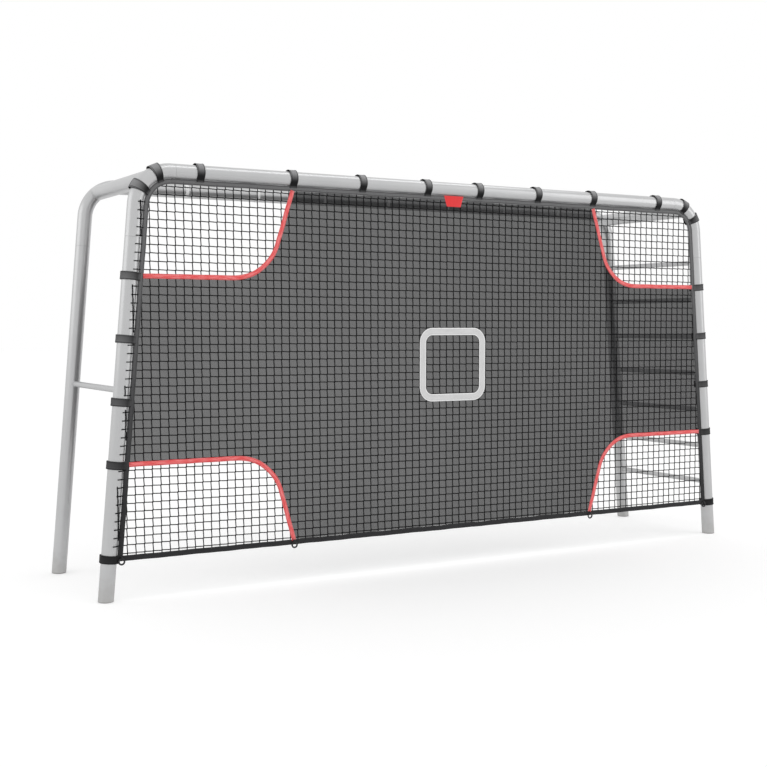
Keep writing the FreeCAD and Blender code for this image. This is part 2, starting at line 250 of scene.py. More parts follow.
def seam_line(tree, place, half_width=0.0016):
    """A thin line round the tubes where the beams and the legs meet their corner pieces."""
    split = axes(tree, place)
    beam_end = sums(tree, "SUBTRACT", sums(tree, "ABSOLUTE", split["X"]), beam_high.x)
    over_leg = sums(tree, "SUBTRACT", split["Z"], seam_z)
    along_leg = sums(tree, "MULTIPLY_ADD", sums(tree, "ABSOLUTE", split["X"]), -leg_slope, over_leg)
    nearest = sums(tree, "MINIMUM", sums(tree, "ABSOLUTE", beam_end), sums(tree, "ABSOLUTE", along_leg))
    side_end = sums(tree, "SUBTRACT", sums(tree, "ABSOLUTE", split["Y"]), side_beam_end)
    nearest = sums(tree, "MINIMUM", nearest, sums(tree, "ABSOLUTE", side_end))
    return ramp(tree, nearest, half_width * 0.4, half_width, 1.0, 0.0)


seam_tilt = tube_r * math.sin(slope_angle)
seam_z = leg_high.z - seam_tilt - leg_slope * leg_x(leg_high.z - seam_tilt)
side_beam_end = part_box("side_beam_left")[1].y
soil = (0.30, 0.27, 0.23)


def powder_coat(name, dark, light, seams=True):
    material, tree, shader = surface(name, Metallic=0.70, Coat_Weight=0.10, Coat_Roughness=0.15, IOR=1.5)
    place = object_map(tree)
    mottling = place_effect(tree, mottle_group, {"Vector": place, "Scale": 5.0})
    dust = place_effect(tree, dust_group, {"Vector": place, "Reach": 0.22})["Dust"]
    painted = shade(tree, mottling["Broad"], dark, light)
    dusty = blend(tree, times(tree, dust, 0.22), painted, soil)
    peel = node(tree, "ShaderNodeTexNoise", {"Vector": place, "Scale": 420.0, "Detail": 2.0}).outputs["Fac"]
    if seams:
        seam = seam_line(tree, place)
        dusty = blend(tree, times(tree, seam, 0.13), dusty, (0.12, 0.12, 0.12))
        peel = sums(tree, "MULTIPLY_ADD", seam, -4.0, peel)
    tree.links.new(dusty, shader.inputs["Base Color"])
    rough = ramp(tree, mottling["Fine"], 0.25, 0.75, 0.29, 0.34)
    tree.links.new(sums(tree, "MULTIPLY_ADD", dust, 0.15, rough), shader.inputs["Roughness"])
    bump(tree, shader, peel, 0.05, 0.0003)
    return material


tube_paint = powder_coat("tube_powder_coat", (0.565, 0.568, 0.572), (0.625, 0.628, 0.632))
corner_paint = powder_coat("corner_powder_coat", (0.57, 0.573, 0.577), (0.63, 0.633, 0.637))
bar_paint = powder_coat("bar_powder_coat", (0.54, 0.543, 0.547), (0.60, 0.603, 0.607), seams=False)
print("seams at X", round(beam_high.x, 3), "and Y", round(side_beam_end, 3))

# %% [markdown]
# A CAD node keeps its mesh and only gets a better material. The legs, beams, corner pieces,
# bars and foot caps all have the right shape already.

# %% Paint the tubes, corner pieces and bars
def paint(name, material):
    """Give a CAD node a material in place of its plain one."""
    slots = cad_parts[name].material_slots
    if not slots:
        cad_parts[name].data.materials.append(material)
    for slot in slots:
        slot.material = material


painted = []
for name in sorted(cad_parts):
    if name.endswith("_beam") or name.startswith(("leg_", "side_beam")):
        paint(name, tube_paint)
        painted.append(name)
    elif name.startswith("corner_") and "straps" not in name:
        paint(name, corner_paint)
        painted.append(name)
    elif name.startswith("ladder_rung") or name == "left_bar":
        paint(name, bar_paint)
        painted.append(name)
print("painted", len(painted), "nodes")

# %% [markdown]
# The foot caps, the rings and the bands on the back beam are moulded plastic. Moulded plastic
# has a fine even grain from the mould, so the grain drives the bump, and the wide mottling
# changes the colour a very little.

# %% Finish: moulded plastic
def moulded(name, dark, light, roughness, grain_scale, dust_share):
    material, tree, shader = surface(name, IOR=1.48)
    place = object_map(tree)
    mottling = place_effect(tree, mottle_group, {"Vector": place, "Scale": 12.0})
    dust = place_effect(tree, dust_group, {"Vector": place, "Reach": 0.15})["Dust"]
    plain = shade(tree, mottling["Broad"], dark, light)
    dusty = blend(tree, times(tree, dust, dust_share), plain, soil)
    tree.links.new(dusty, shader.inputs["Base Color"])
    rough = ramp(tree, mottling["Fine"], 0.3, 0.7, roughness - 0.06, roughness + 0.06)
    tree.links.new(rough, shader.inputs["Roughness"])
    grain = node(tree, "ShaderNodeTexVoronoi", {"Vector": place, "Scale": grain_scale}).outputs["Distance"]
    bump(tree, shader, grain, 0.15, 0.0002)
    return material


cap_plastic = moulded("foot_cap_plastic", (0.44, 0.445, 0.455), (0.50, 0.505, 0.515), 0.5, 1100.0, 0.35)
ring_plastic = moulded("ring_plastic", (0.012, 0.012, 0.013), (0.022, 0.022, 0.024), 0.38, 1500.0, 0.1)
band_plastic = moulded("band_plastic", (0.90, 0.90, 0.90), (0.97, 0.97, 0.97), 0.35, 1300.0, 0.0)
for name in sorted(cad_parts):
    if name.startswith("foot_cap"):
        paint(name, cap_plastic)
    if name.startswith("tie_ring"):
        paint(name, ring_plastic)
paint("back_beam_bands", band_plastic)
print("moulded plastic on caps, rings and bands")

# %% [markdown]
# Every sewn band on the net is a flat strip bent along some line: webbing, tape, straps, the
# target. So one helper makes them all. It starts from a flat grid, moves each of its points to
# its place on the band, and keeps how far along and across the band each point was as a map in
# metres, for the weave and the stitches.

# %% Helper: a strip of cloth
def strip(bm, length, width, place, long_steps, cross_steps, closed=False):
    """Add a strip to bm. place(along, across) gives a point, with across from -width / 2."""
    made = bmesh.ops.create_grid(bm, x_segments=long_steps, y_segments=cross_steps, size=0.5)["verts"]
    uv_layer = bm.loops.layers.uv.get("cloth") or bm.loops.layers.uv.new("cloth")
    flat = {v: ((v.co.x + 0.5) * length, v.co.y * width) for v in made}
    faces = {face for v in made for face in v.link_faces}
    for face in faces:
        face.smooth = True
        for loop in face.loops:
            along, across = flat[loop.vert]
            loop[uv_layer].uv = (along, across + width / 2)
    for v in made:
        v.co = place(*flat[v])
    if closed:
        bmesh.ops.remove_doubles(bm, verts=made, dist=1e-5)
    return made


def finish_piece(name, bm, material, replaced, thickness=0.0, rounding=0.0, body="frame"):
    """Turn bm into an object that rides on a body and stands for CAD nodes."""
    mesh = bpy.data.meshes.new(name)
    bm.to_mesh(mesh)
    bm.free()
    mesh.materials.append(material)
    piece = bpy.data.objects.new(name, mesh)
    bpy.context.scene.collection.objects.link(piece)
    if thickness:
        wall = piece.modifiers.new("thickness", "SOLIDIFY")
        wall.thickness = thickness
        wall.offset = 0.0
    if rounding:
        edge = piece.modifiers.new("soft_edges", "BEVEL")
        edge.width = rounding
        edge.segments = 2
        edge.limit_method = "ANGLE"
        edge.angle_limit = math.radians(50)
    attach(piece, body)
    if replaced:
        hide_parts(*replaced)
    print(name, len(mesh.polygons), "faces")
    return piece


# %% [markdown]
# The edge webbing follows the inside of the tubes at a fixed gap: straight along the top and
# bottom, sloping down the sides, and round at the top corners. These helpers walk along that
# line, so webbing, strings and panel all end in the same place.

# %% Helper: the net's outline
def half_width(z, gap):
    """Half of the net's width at a height, at a gap inside the tube axes."""
    radius = bend_radius - gap
    if z > hub_z + radius * math.cos(bend_angle):
        return hub_x + math.sqrt(max(radius ** 2 - (z - hub_z) ** 2, 0.0))
    return leg_x(z) - gap / math.cos(slope_angle)


def top_edge(x, gap):
    """Height of the net's top edge at a distance from the middle, at a gap."""
    radius = bend_radius - gap
    x = abs(x)
    if x <= hub_x:
        return beam_z - gap
    if x < hub_x + radius * math.sin(bend_angle):
        return hub_z + math.sqrt(radius ** 2 - (x - hub_x) ** 2)
    return leg_low.z + (foot_x - x - gap / math.cos(slope_angle)) / leg_slope


def solids_of(name):
    """Boxes of the separate solids in one CAD node, from left to right and bottom to top."""
    bm = bmesh.new()
    bm.from_mesh(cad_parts[name].data)
    bmesh.ops.remove_doubles(bm, verts=bm.verts, dist=1e-5)
    seen = set()
    boxes = []
    for first in bm.verts:
        if first in seen:
            continue
        seen.add(first)
        group = [first]
        for v in group:
            for edge in v.link_edges:
                other = edge.other_vert(v)
                if other not in seen:
                    seen.add(other)
                    group.append(other)
        low = Vector([min(v.co[i] for v in group) for i in range(3)])
        high = Vector([max(v.co[i] for v in group) for i in range(3)])
        boxes.append((low, high))
    bm.free()
    return sorted(boxes, key=lambda box: (round(box[0].x, 2), box[0].z))


strap_heights = sorted((low.z + high.z) / 2 for low, high in solids_of("side_straps_left"))
beam_strap_places = [(low.x + high.x) / 2 for low, high in solids_of("beam_straps")]
print("leg straps at", [round(z, 3) for z in strap_heights])
print("beam straps at", [round(x, 3) for x in beam_strap_places])

# %% [markdown]
# The net is knotted from dark polyester cord in a square mesh. Each upright cord leans a
# little between two knots and is pulled back at the next, and so does each level cord, which
# gives the net its lively stepped lines. A curve with a round bevel makes all cords of one
# direction at once, and turning it into a mesh keeps the piece simple.

# %% Finish: braided cord
cord_material, tree, shader = surface("braided_cord", Roughness=0.78, Specular_IOR_Level=0.10)
place = object_map(tree)
mottling = place_effect(tree, mottle_group, {"Vector": place, "Scale": 6.0})
split = axes(tree, place)
twist = sums(tree, "ADD", sums(tree, "ADD", split["X"], split["Z"]), times(tree, split["Y"], 1.6))
strand = sums(tree, "SINE", times(tree, twist, 2 * math.pi / 0.0022))
tone = sums(tree, "MULTIPLY_ADD", strand, 0.18, mottling["Broad"])
tree.links.new(shade(tree, tone, (0.004, 0.004, 0.0045), (0.013, 0.013, 0.014)), shader.inputs["Base Color"])
bump(tree, shader, strand, 0.5, 0.0004)
print("made", cord_material.name)

# %% [markdown]
# The net is tied by machine, so its cells are even: every cord starts from a straight line and
# is moved at three points in each cell. The spacing, the top cord's height and the middle
# cord's place set the whole grid.

# %% Tie the upright and level cords
cell_width = 0.0458
cell_height = 0.0420
top_cord_z = 2.0880
level_count = 45
upright_count = 43        # each side of the middle one, where the net is widest
middle_cord_x = 0.003
cord_gap = edge_gap + webbing_width / 2
lean = 0.0015             # how far an upright cord leans between two knots
level_lean = 0.7 * lean
upright_drift = 0.0006    # uneven pull on each cord
level_drift = 0.0005
bends = (0.10, 0.50, 0.90)  # shares of a cell at which a cord has a point
upright_r = 0.0028
level_r = 0.0029
knot_r = 0.0041
cord_offset = 0.0002      # upright cords lie this much in front of the net's middle
upright_y = (net_low.y + net_high.y) / 2 - cord_offset
level_y = (net_low.y + net_high.y) / 2 + cord_offset
wobble = random.Random(7)


def sawtooth(share):
    """-1 just after a knot, 1 just before the next, from how far along the cell it is."""
    return share * 2 - 1


def cord_mesh(name, lines, radius, replaced):
    """One mesh of many round cords, each through its own list of points."""
    curve = bpy.data.curves.new(name + "_path", "CURVE")
    curve.dimensions = "3D"
    curve.bevel_depth = radius
    curve.bevel_resolution = 1
    curve.use_fill_caps = True
    for points in lines:
        spline = curve.splines.new("POLY")
        spline.points.add(len(points) - 1)
        for target, point in zip(spline.points, points):
            target.co = (*point, 1)
    shaped = bpy.data.objects.new(name + "_path", curve)
    bm = bmesh.new()
    bm.from_mesh(bpy.data.meshes.new_from_object(shaped))
    bmesh.ops.remove_doubles(bm, verts=bm.verts, dist=1e-6)
    bmesh.ops.recalc_face_normals(bm, faces=bm.faces)
    for face in bm.faces:
        face.smooth = True
    bpy.data.objects.remove(shaped)
    return finish_piece(name, bm, cord_material, replaced)


def upright_points(x):
    top = top_edge(x, cord_gap)
    bottom = webbing_low.z + webbing_width / 2
    drift = [wobble.uniform(-upright_drift, upright_drift) for _ in range(level_count + 2)]
    points = [Vector((x, upright_y, bottom))]
    for row in range(level_count - 1, -2, -1):
        knot_z = top_cord_z - cell_height * row
        for share in bends:
            z = knot_z + cell_height * share
            if bottom < z < top:
                shift = lean * sawtooth(share) + drift[row]
                points.append(Vector((x - shift, upright_y, z)))
    points.append(Vector((x, upright_y, top)))
    return points


uprights = []
for column in range(-upright_count, upright_count + 1):
    x = middle_cord_x + column * cell_width
    if top_edge(x, cord_gap) - webbing_high.z > cell_height / 3:
        uprights.append(upright_points(x))
print(len(uprights), "upright cords")

# %% [markdown]
# On the left, the net's raw edge sticks out past the webbing by the better part of a cell and
# lies over the leg, except under the straps. Those loose ends bend round the tube, so their
# points sit on its skin: the further out, the nearer to the front of the tube.

# %% Lay the loose edge over the left leg
loose_edge = 0.027
loose_stretch = 1.3       # round the tube, against straight out
skin_r = tube_r + upright_r
strap_room = 0.026        # no loose cord this near a strap's middle
loose_top = hub_z + 0.055
loose_bottom = webbing_high.z + 0.03
loose_step = 0.012        # from one point of a loose upright cord to the next
loose_wave = 0.0008


def on_left_leg(out, z):
    """Point on the left leg's skin, at a distance out from the webbing's outer edge."""
    across = edge_gap - out * loose_stretch
    depth = math.sqrt(skin_r ** 2 - across ** 2)
    return Vector((-(leg_x(z) - across), front_y - depth, z))


def under_strap(z):
    return any(abs(z - height) < strap_room for height in strap_heights)


def level_points(z):
    reach = half_width(z, cord_gap)
    drift = [wobble.uniform(-level_drift, level_drift) for _ in range(2 * upright_count + 4)]
    points = []
    if loose_bottom < z < loose_top and not under_strap(z):
        for step in (1.0, 0.75, 0.5, 0.25, 0.0):
            points.append(on_left_leg(loose_edge * step, z))
    points.append(Vector((-reach, level_y, z)))
    for column in range(-upright_count - 1, upright_count + 2):
        for share in bends:
            x = middle_cord_x + cell_width * (column + share)
            if -reach < x < reach:
                points.append(Vector((x, level_y, z - level_lean * sawtooth(share) + drift[column])))
    points.append(Vector((reach, level_y, z)))
    return points


levels = [level_points(top_cord_z - cell_height * row) for row in range(level_count)]
loose_uprights = []
for column in range(-upright_count - 1, -upright_count + 3):
    x = middle_cord_x + column * cell_width
    run = []
    steps = int((loose_top - loose_bottom) / loose_step)
    for step in range(steps):
        z = loose_bottom + loose_step * step
        out = -x - (leg_x(z) - edge_gap / math.cos(slope_angle))
        if 0.001 < out < loose_edge and not under_strap(z):
            run.append(on_left_leg(out, z) + Vector((loose_wave * math.sin(z * 150), 0, 0)))
            continue
        if len(run) > 2:
            loose_uprights.append(run)
        run = []
    if len(run) > 2:
        loose_uprights.append(run)
net_uprights = cord_mesh("net_uprights", uprights + loose_uprights, upright_r, ["string_net"])
net_levels = cord_mesh("net_levels", levels, level_r, [])
print(len(levels), "level cords,", len(loose_uprights), "loose stretches")

# %% [markdown]
# A knot sits at every crossing: a small lump, a little wider than the cords. There are more
# than three thousand of them, so each is a ball with only twenty faces, squashed flat. One row
# at a time is made by itself and then added, because operators slow down on a large bmesh.

# %% Knot the crossings
bm = bmesh.new()
knot_y = (upright_y + level_y) / 2
knot_shape = (1.0, 0.75, 1.1)
knot_reach = 0.006        # how far knots go under the webbing
knots = 0
for row in range(level_count):
    z = top_cord_z - cell_height * row
    one_row = bmesh.new()
    for column in range(-upright_count, upright_count + 1):
        x = middle_cord_x + column * cell_width
        if abs(x) < half_width(z, cord_gap - knot_reach) and z > webbing_high.z:
            ball = bmesh.ops.create_icosphere(one_row, subdivisions=1, radius=knot_r)["verts"]
            bmesh.ops.scale(one_row, vec=knot_shape, verts=ball)
            bmesh.ops.translate(one_row, vec=(x, knot_y, z), verts=ball)
            knots += 1
    row_mesh = bpy.data.meshes.new("knot_row")
    one_row.to_mesh(row_mesh)
    one_row.free()
    bm.from_mesh(row_mesh)
    bpy.data.meshes.remove(row_mesh)
for face in bm.faces:
    face.smooth = True
net_knots = finish_piece("net_knots", bm, cord_material, [])
print(knots, "knots")

# %% [markdown]
# Behind the cords hangs a close-woven panel that slows the ball. It is a sheer black mesh:
# most of the light is stopped by the threads, and the rest comes through the holes between
# them. One layer of cloth is enough, cut to the CAD panel's outline with its four windows. The
# weave is far finer than the net, so it works through the Alpha of the material. Seen aslant,
# the threads hide more of the holes.

# %% Finish: sheer mesh cloth
sheer_cloth, tree, shader = surface("sheer_mesh_cloth", Roughness=0.85, Specular_IOR_Level=0.15)
cloth = cloth_map(tree)
weave = place_effect(tree, weave_group, {"Vector": cloth, "Threads": 420.0})
mottling = place_effect(tree, mottle_group, {"Vector": cloth, "Scale": 1.3})
tone = sums(tree, "MULTIPLY_ADD", weave["Height"], 0.35, times(tree, mottling["Broad"], 0.65))
tree.links.new(shade(tree, tone, (0.012, 0.012, 0.013), (0.024, 0.024, 0.025)), shader.inputs["Base Color"])
cover = sums(tree, "MULTIPLY_ADD", weave["Height"], 0.16, 0.715)
cover = sums(tree, "MULTIPLY_ADD", mottling["Broad"], 0.03, cover)
aslant = node(tree, "ShaderNodeLayerWeight", {"Blend": 0.5}).outputs["Facing"]
cover = sums(tree, "MULTIPLY_ADD", aslant, 0.19, cover)
tree.links.new(cover, shader.inputs["Alpha"])
bump(tree, shader, weave["Height"], 0.3, 0.0003)
print("made", sheer_cloth.name)

# %% [markdown]
# The CAD panel already has the outline and the windows, so one of its two faces is the cloth.
# Cutting it along even lines splits the large face with holes into simple ones.

# %% Cut the panel
bm = bmesh.new()
bm.from_mesh(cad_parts["mesh_panel"].data)
bmesh.ops.remove_doubles(bm, verts=bm.verts, dist=1e-5)
bm.normal_update()
bmesh.ops.delete(bm, geom=[face for face in bm.faces if face.normal.y > -0.9], context="FACES")
panel_step = 0.35         # size of the faces that the panel is cut into
panel_set_back = 0.0009   # keeps the cloth clear of the cords in front
for axis, low, high in ((Vector((1, 0, 0)), -2.1, 2.1), (Vector((0, 0, 1)), 0.2, 2.2)):
    cut = low
    while cut < high:
        everything = bm.verts[:] + bm.edges[:] + bm.faces[:]
        bmesh.ops.bisect_plane(bm, geom=everything, plane_co=axis * cut, plane_no=axis, dist=1e-5)
        cut += panel_step
uv_layer = bm.loops.layers.uv.get("cloth") or bm.loops.layers.uv.new("cloth")
for face in bm.faces:
    for loop in face.loops:
        loop[uv_layer].uv = (loop.vert.co.x, loop.vert.co.z)
panel_area = sum(face.calc_area() for face in bm.faces)
bmesh.ops.translate(bm, vec=(0, panel_set_back, 0), verts=bm.verts)
panel = finish_piece("see_through_panel", bm, sheer_cloth, ["mesh_panel"])

# %% [markdown]
# The webbing that binds the net's edge is woven polyester, folded over the edge and sewn with
# two rows of stitches. It is pulled tight by the straps, but not perfectly, so the strips
# waver by less than a millimetre. The webbing is paler towards the top, and the higher straps
# are paler on their upper sides: that is painted light, as from a lamp above, and it is part of
# the materials and doesn't wait for the lamps. Two masks drive it, one by height, and one by
# the way the surface faces.

# %% Finish: dark webbing
# These three masks place painted light on the webbing and straps: paler where more light falls from above.
def painted_light_by_facing(tree):
    """1 on sides that face up, 0 on sides that face down or away."""
    facing = node(tree, "ShaderNodeNewGeometry").outputs["Normal"]
    up = node(tree, "ShaderNodeVectorMath", {0: facing, 1: (-0.16, -0.22, 0.96)}, operation="DOT_PRODUCT")
    return sums(tree, "POWER", ramp(tree, up.outputs["Value"], -0.35, 0.95), 1.3)


def painted_light_by_height(tree):
    """0 near the ground, 1 at the top beam."""
    split = axes(tree, object_map(tree))
    return ramp(tree, split["Z"], 0.25, 2.15)


def painted_light_by_facing_and_height(tree):
    """Mostly 1 on upward sides of high straps, and near 0 low down."""
    split = axes(tree, object_map(tree))
    return times(tree, painted_light_by_facing(tree), ramp(tree, split["Z"], 0.15, 1.55, 0.10, 1.0))


def dark_cloth(name, dark, light, threads, width, inset, sheen, painted_light_colour=None, painted_light_mask=None):
    """Woven tape. Where a mask is given, a paler colour is blended in by it as painted light."""
    material, tree, shader = surface(name, Roughness=0.82, Specular_IOR_Level=0.15,
                                     Sheen_Weight=sheen, Sheen_Roughness=0.45)
    cloth = cloth_map(tree)
    weave = place_effect(tree, weave_group, {"Vector": cloth, "Threads": threads})
    mottling = place_effect(tree, mottle_group, {"Vector": cloth, "Scale": 9.0})
    seam = place_effect(tree, stitch_group, {"Vector": cloth, "Width": width, "Inset": inset})
    tone = sums(tree, "MULTIPLY_ADD", weave["Height"], 0.45, times(tree, mottling["Broad"], 0.55))
    plain = shade(tree, tone, dark, light)
    # Painted light: a paler colour blended in wherever the mask says so.
    if painted_light_colour:
        painted_light_share = times(tree, painted_light_mask(tree), ramp(tree, tone, -0.6, 0.6, 0.5, 1.0))
        plain = blend(tree, painted_light_share, plain, painted_light_colour)
    # Painted shade: the colour darkens in the dents beside the stitch rows.
    painted_dent_shade = blend(tree, times(tree, seam["Dent"], 0.5), plain, dark)
    sewn = blend(tree, seam["Thread"], painted_dent_shade, [v * 1.5 for v in light])
    tree.links.new(sewn, shader.inputs["Base Color"])
    height = sums(tree, "MULTIPLY_ADD", seam["Dent"], -1.2, weave["Height"])
    height = sums(tree, "MULTIPLY_ADD", seam["Thread"], 1.0, height)
    bump(tree, shader, height, 0.5, 0.0006)
    return material


# The webbing's paler colour towards the top is painted light.
webbing_cloth = dark_cloth("edge_webbing", (0.016, 0.016, 0.017), (0.044, 0.044, 0.046), 700.0,
                           webbing_width, 0.005, 0.2, (0.18, 0.18, 0.183), painted_light_by_height)

# %% [markdown]
# Straight lengths and round corners differ only in the line that they follow. All end at the
# same height, where the bend starts, so that the lengths meet without a gap.

# %% Sew the edge webbing
webbing_y = (webbing_low.y + webbing_high.y) / 2
webbing_thickness = webbing_high.y - webbing_low.y
step_length = 0.03
webbing_edge = 0.0014     # rounding of its folded edges
side_low = Vector((half_width(webbing_high.z, cord_gap), 0, webbing_high.z))
side_high = Vector((hub_x + (bend_radius - cord_gap) * math.sin(bend_angle), 0,
                    hub_z + (bend_radius - cord_gap) * math.cos(bend_angle)))


def waver(along):
    return 0.0006 * math.sin(along * 19.0) + 0.0004 * math.sin(along * 47.0 + 1.0)


def straight_webbing(name, start, end, replaced):
    """A length of webbing between two points of its middle line, which lie in the net's plane."""
    run = end - start
    length = run.length
    along_line = run.normalized()
    outward = Vector((-along_line.z, 0, along_line.x))

    def place(along, across):
        point = start + along_line * along + outward * (across + waver(along))
        return Vector((point.x, webbing_y + 0.0003 * math.sin(along * 31.0), point.z))

    bm = bmesh.new()
    strip(bm, length, webbing_width, place, max(2, round(length / step_length)), 4)
    return finish_piece(name, bm, webbing_cloth, replaced, webbing_thickness, webbing_edge)


def corner_webbing(name, side, replaced):
    """Webbing round a top corner, from the beam's end of the bend to the leg's."""
    radius = bend_radius - cord_gap
    length = radius * bend_angle

    def place(along, across):
        turn = along / radius
        out = radius - side * across
        return Vector((side * (hub_x + out * math.sin(turn)), webbing_y, hub_z + out * math.cos(turn)))

    bm = bmesh.new()
    strip(bm, length, webbing_width, place, 14, 4)
    return finish_piece(name, bm, webbing_cloth, replaced, webbing_thickness, webbing_edge)


bottom_z = (webbing_low.z + webbing_high.z) / 2
bottom_half = half_width(bottom_z, edge_gap)
webbings = [
    straight_webbing("edge_webbing_bottom", Vector((-bottom_half, 0, bottom_z)),
                     Vector((bottom_half, 0, bottom_z)), ["webbing_bottom"]),
    straight_webbing("edge_webbing_top", Vector((-hub_x, 0, beam_z - cord_gap)),
                     Vector((hub_x, 0, beam_z - cord_gap)), ["webbing_top"]),
]
for word, side in (("left", -1), ("right", 1)):
    low = Vector((side * side_low.x, 0, side_low.z))
    high = Vector((side * side_high.x, 0, side_high.z))
    webbings.append(straight_webbing("edge_webbing_" + word, low, high, ["webbing_" + word]))
    webbings.append(corner_webbing("edge_webbing_corner_" + word, side, ["webbing_corner_" + word]))
print(len(webbings), "lengths of webbing")

# %% [markdown]
# Dark hook-and-loop straps hold the net to the tubes. A strap starts on the front of the
# webbing, goes out and round the tube, and ends on the back of the webbing. On the real
# thing its tail closes on itself behind the tube, so each strap has a second short layer
# there. Its edges flare a little off the tube, as stiff tape does.

# %% Finish: strap tape
strap_width = 0.042
strap_thickness = 0.0025
# The straps' paler colour on the upward sides of the higher straps is painted light.
strap_cloth = dark_cloth("strap_tape", (0.006, 0.006, 0.0065), (0.018, 0.018, 0.019), 520.0,
                         strap_width, 0.0045, 0.05, (0.33, 0.33, 0.335), painted_light_by_facing_and_height)

# %% [markdown]
# Seen along its tube, a strap is a line: a front run over the webbing, an arc round the tube,
# and a back run. Everything else about a strap follows from that line, so it is worked out
# once, as a distance towards the net and a distance forwards.

# %% Helper: the line of a strap round a tube
strap_r = tube_r + 0.0003 + strap_thickness / 2
front_f = front_y - webbing_low.y + 0.0002 + strap_thickness / 2
back_f = front_y - webbing_high.y - 0.0002 - strap_thickness / 2
tip_n = edge_gap + 0.011
leave = math.radians(50)                       # where the strap leaves the tube at the front
meet = 2 * math.pi + math.radians(17)          # where it comes back to the webbing behind
front_run = tip_n - strap_r * math.cos(leave)
back_run = tip_n - strap_r * math.cos(meet)
strap_length = front_run + strap_r * (meet - leave) + back_run
beam_slack = 0.0075       # how far a strap stands off the far side of its tube
leg_slack = 0.0025
corner_angles = (23.5, 59.0)  # of the straps on a bend, from its beam end, in degrees
strap_edge = 0.0005


def bare_line(along, slack):
    """Point of the strap's middle line: towards the net, and forwards, from the tube's axis."""
    if along < front_run:
        share = along / front_run
        height = strap_r * math.sin(leave)
        eased = share ** 3
        return tip_n - along, front_f + (height - front_f) * eased
    turned = leave + (along - front_run) / strap_r
    if turned < meet:
        share = (turned - leave) / (meet - leave)
        radius = strap_r + slack * (0.5 - 0.5 * math.cos(2 * math.pi * share))
        return radius * math.cos(turned), radius * math.sin(turned)
    rest = along - front_run - strap_r * (meet - leave)
    return strap_r * math.cos(meet) + rest, back_f


def strap_line(along, slack):
    """The same line with its corners eased over a few millimetres."""
    ease = 0.0035
    points = [bare_line(min(max(along + step * ease, 0.0), strap_length), slack) for step in (-1, 0, 1)]
    return sum(point[0] for point in points) / 3, sum(point[1] for point in points) / 3


def flare(across):
    return 0.0011 * (2 * across / strap_width) ** 4


def straight_place(centre, along_tube, inward, slack):
    """Where a point of a strap goes on a straight tube."""
    forward = Vector((0, -1, 0))

    def place(along, across, lift=0.0):
        n, f = strap_line(along, slack)
        reach = math.hypot(n, f)
        push = 1 + (flare(across) + lift) / reach
        return centre + along_tube * across + inward * (n * push) + forward * (f * push)

    return place


def bend_place(side, angle, slack):
    """Where a point of a strap goes on a corner bend, at an angle from its beam end."""

    def place(along, across, lift=0.0):
        n, f = strap_line(along, slack)
        push = 1 + (flare(across) + lift) / math.hypot(n, f)
        turn = angle + across / bend_radius
        out = bend_radius - n * push
        return Vector((side * (hub_x + out * math.sin(turn)), front_y - f * push,
                       hub_z + out * math.cos(turn)))

    return place


print("strap length", round(strap_length, 3))

# %% [markdown]
# With the line known, a strap is one strip wrapped by it, and its tail is a second strip over
# the far side of the tube. Beam, leg and bend straps differ only in where they sit.

# %% Wrap the straps
tail_start = front_run + strap_r * (math.radians(200) - leave)
tail_length = strap_r * math.radians(105)


def wrap(bm, place):
    strip(bm, strap_length, strap_width, place, 72, 6)

    def tail(along, across):
        narrow = min(1.0, 0.55 + 12.0 * min(along, tail_length - along) / strap_width)
        return place(tail_start + along, across * narrow * 0.97, strap_thickness)

    strip(bm, tail_length, strap_width, tail, 24, 6)


def leg_strap(side, z):
    down = Vector((side * math.sin(slope_angle), 0, -math.cos(slope_angle)))
    inward = Vector((-side * math.cos(slope_angle), 0, -math.sin(slope_angle)))
    return straight_place(Vector((side * leg_x(z), front_y, z)), down * side, inward, leg_slack)


def wrapped(name, bm, replaced):
    finish_piece(name, bm, strap_cloth, [replaced], strap_thickness, strap_edge)


bm = bmesh.new()
for x in beam_strap_places:
    wrap(bm, straight_place(Vector((x, front_y, beam_z)), Vector((1, 0, 0)), Vector((0, 0, -1)), beam_slack))
wrapped("beam_hook_straps", bm, "beam_straps")
bm = bmesh.new()
for side in (-1, 1):
    for angle in corner_angles:
        wrap(bm, bend_place(side, math.radians(angle), beam_slack))
wrapped("corner_hook_straps", bm, "corner_straps")
for word, side in (("left", -1), ("right", 1)):
    bm = bmesh.new()
    for z in strap_heights:
        wrap(bm, leg_strap(side, z))
    wrapped("leg_hook_straps_" + word, bm, "side_straps_" + word)

# %% [markdown]
# Red tape edges the four open windows. It is a thin twill: its threads make fine slanting
# ridges. The window's edge is a slanting line, a wide curve and a level line, so the tape's
# path is made of the same three runs.

# %% Finish: red twill tape
red_tape, tree, shader = surface("red_twill_tape", Roughness=0.6, Sheen_Weight=0.25, Sheen_Roughness=0.4)
cloth = cloth_map(tree)
split = axes(tree, cloth)
slant = sums(tree, "MULTIPLY_ADD", split["Y"], 1.4, split["X"])
ridge = sums(tree, "SINE", times(tree, slant, 2 * math.pi / 0.0042))
streaks = node(tree, "ShaderNodeMapping", {"Vector": cloth, "Rotation": (0, 0, 0.5), "Scale": (18, 160, 1)})
streak = node(tree, "ShaderNodeTexNoise", {"Vector": streaks.outputs[0], "Scale": 1.0, "Detail": 3.0})
tone = sums(tree, "MULTIPLY_ADD", ridge, 0.15, ramp(tree, streak.outputs["Fac"], 0.36, 0.64))
seam = place_effect(tree, stitch_group, {"Vector": cloth, "Width": 0.025, "Inset": 0.003})
twill = shade(tree, tone, (0.87, 0.072, 0.075), (0.99, 0.235, 0.238))
sewn = blend(tree, times(tree, seam["Thread"], 0.6), twill, (0.42, 0.02, 0.02))
tree.links.new(sewn, shader.inputs["Base Color"])
bump(tree, shader, sums(tree, "MULTIPLY_ADD", seam["Dent"], -0.8, ridge), 0.35, 0.0004)
print("made", red_tape.name)

